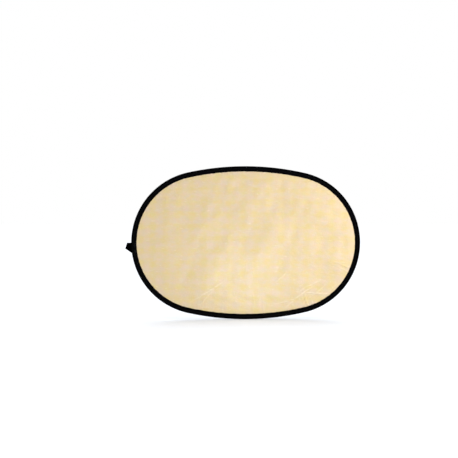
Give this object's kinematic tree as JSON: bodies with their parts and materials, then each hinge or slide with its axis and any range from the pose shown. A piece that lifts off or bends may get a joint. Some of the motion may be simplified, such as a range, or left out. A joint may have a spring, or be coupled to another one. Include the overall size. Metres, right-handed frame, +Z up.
{
  "type": "collapsible oval reflector disc",
  "caption": "Oval fabric reflector, gold on one face and white on the other, on a sprung steel hoop in a sewn edge binding with a hanging loop; bends to fold up.",
  "frame": {"origin": "middle of the rim's lower edge, in the disc's mid-plane", "axes": "+X along the oval's long axis, away from the hanging loop; +Y from the gold face to the white face; +Z up across the oval"},
  "size_m": [1.2301, 0.0104, 0.7998],
  "materials": {
    "gold_cloth": "soft gold metallised weave, satin sheen",
    "white_cloth": "matt white nylon",
    "binding_tape": "matt black woven tape",
    "seam_thread": "black polyester thread",
    "webbing": "black woven webbing",
    "spring_steel": "blued spring steel",
    "splice_steel": "zinc-plated",
    "splice_wrap": "cloth tape"
  },
  "bodies": {
    "middle": {"gold_cloth_middle": "gold_cloth", "white_cloth_middle": "white_cloth", "spring_hoop_middle": "spring_steel", "edge_binding_middle": "binding_tape", "seam_thread_middle": "seam_thread"},
    "right_1": {"gold_cloth_right_1": "gold_cloth", "white_cloth_right_1": "white_cloth", "spring_hoop_right_1": "spring_steel", "edge_binding_right_1": "binding_tape", "seam_thread_right_1": "seam_thread"},
    "right_2": {"gold_cloth_right_2": "gold_cloth", "white_cloth_right_2": "white_cloth", "spring_hoop_right_2": "spring_steel", "edge_binding_right_2": "binding_tape", "seam_thread_right_2": "seam_thread"},
    "right_3": {"gold_cloth_right_3": "gold_cloth", "white_cloth_right_3": "white_cloth", "spring_hoop_right_3": "spring_steel", "edge_binding_right_3": "binding_tape", "seam_thread_right_3": "seam_thread"},
    "right_end": {"gold_cloth_right_end": "gold_cloth", "white_cloth_right_end": "white_cloth", "spring_hoop_right_end": "spring_steel", "edge_binding_right_end": "binding_tape", "seam_thread_right_end": "seam_thread"},
    "left_1": {"gold_cloth_left_1": "gold_cloth", "white_cloth_left_1": "white_cloth", "spring_hoop_left_1": "spring_steel", "edge_binding_left_1": "binding_tape", "seam_thread_left_1": "seam_thread"},
    "left_2": {"gold_cloth_left_2": "gold_cloth", "white_cloth_left_2": "white_cloth", "spring_hoop_left_2": "spring_steel", "edge_binding_left_2": "binding_tape", "seam_thread_left_2": "seam_thread"},
    "left_3": {"gold_cloth_left_3": "gold_cloth", "white_cloth_left_3": "white_cloth", "spring_hoop_left_3": "spring_steel", "edge_binding_left_3": "binding_tape", "seam_thread_left_3": "seam_thread"},
    "left_end": {"gold_cloth_left_end": "gold_cloth", "white_cloth_left_end": "white_cloth", "spring_hoop_left_end": "spring_steel", "edge_binding_left_end": "binding_tape", "seam_thread_left_end": "seam_thread", "splice_ferrule": "splice_steel", "splice_rivets": "splice_steel", "splice_wrap": "splice_wrap", "loop_sewn_ends": "webbing", "loop_bartack": "seam_thread"},
    "loop": {"hanging_loop": "webbing"}
  },
  "joints": [
    {"name": "bend_right_1", "type": "hinge", "parent": "middle", "child": "right_1", "pos_m": [0.0439, 0, 0.4], "axis": [0, 0, 1], "range_deg": [-29, 29], "stiffness_Nm_per_rad": 60},
    {"name": "bend_right_2", "type": "hinge", "parent": "right_1", "child": "right_2", "pos_m": [0.13171, 0, 0.4], "axis": [0, 0, 1], "range_deg": [-29, 29]},
    {"name": "bend_right_3", "type": "hinge", "parent": "right_2", "child": "right_3", "pos_m": [0.21951, 0, 0.4], "axis": [0, 0, 1], "range_deg": [-29, 29]},
    {"name": "bend_right_4", "type": "hinge", "parent": "right_3", "child": "right_end", "pos_m": [0.30732, 0, 0.4], "axis": [0, 0, 1], "range_deg": [-29, 29]},
    {"name": "bend_left_1", "type": "hinge", "parent": "middle", "child": "left_1", "pos_m": [-0.0439, 0, 0.4], "axis": [0, 0, -1], "range_deg": [-29, 29]},
    {"name": "bend_left_2", "type": "hinge", "parent": "left_1", "child": "left_2", "pos_m": [-0.13171, 0, 0.4], "axis": [0, 0, -1], "range_deg": [-29, 29]},
    {"name": "bend_left_3", "type": "hinge", "parent": "left_2", "child": "left_3", "pos_m": [-0.21951, 0, 0.4], "axis": [0, 0, -1], "range_deg": [-29, 29]},
    {"name": "bend_left_4", "type": "hinge", "parent": "left_3", "child": "left_end", "pos_m": [-0.30732, 0, 0.4], "axis": [0, 0, -1], "range_deg": [-29, 29]},
    {"name": "loop_swing", "type": "hinge", "parent": "left_end", "child": "loop", "pos_m": [-0.603, 0, 0.375], "axis": [0, 0, 1], "range_deg": [-75, 75]}
  ],
  "couplings": [
    {"joint": "bend_right_2", "follows": "bend_right_1", "ratio": 1},
    {"joint": "bend_right_3", "follows": "bend_right_1", "ratio": 1},
    {"joint": "bend_right_4", "follows": "bend_right_1", "ratio": 1},
    {"joint": "bend_left_1", "follows": "bend_right_1", "ratio": 1},
    {"joint": "bend_left_2", "follows": "bend_right_1", "ratio": 1},
    {"joint": "bend_left_3", "follows": "bend_right_1", "ratio": 1},
    {"joint": "bend_left_4", "follows": "bend_right_1", "ratio": 1}
  ]
}
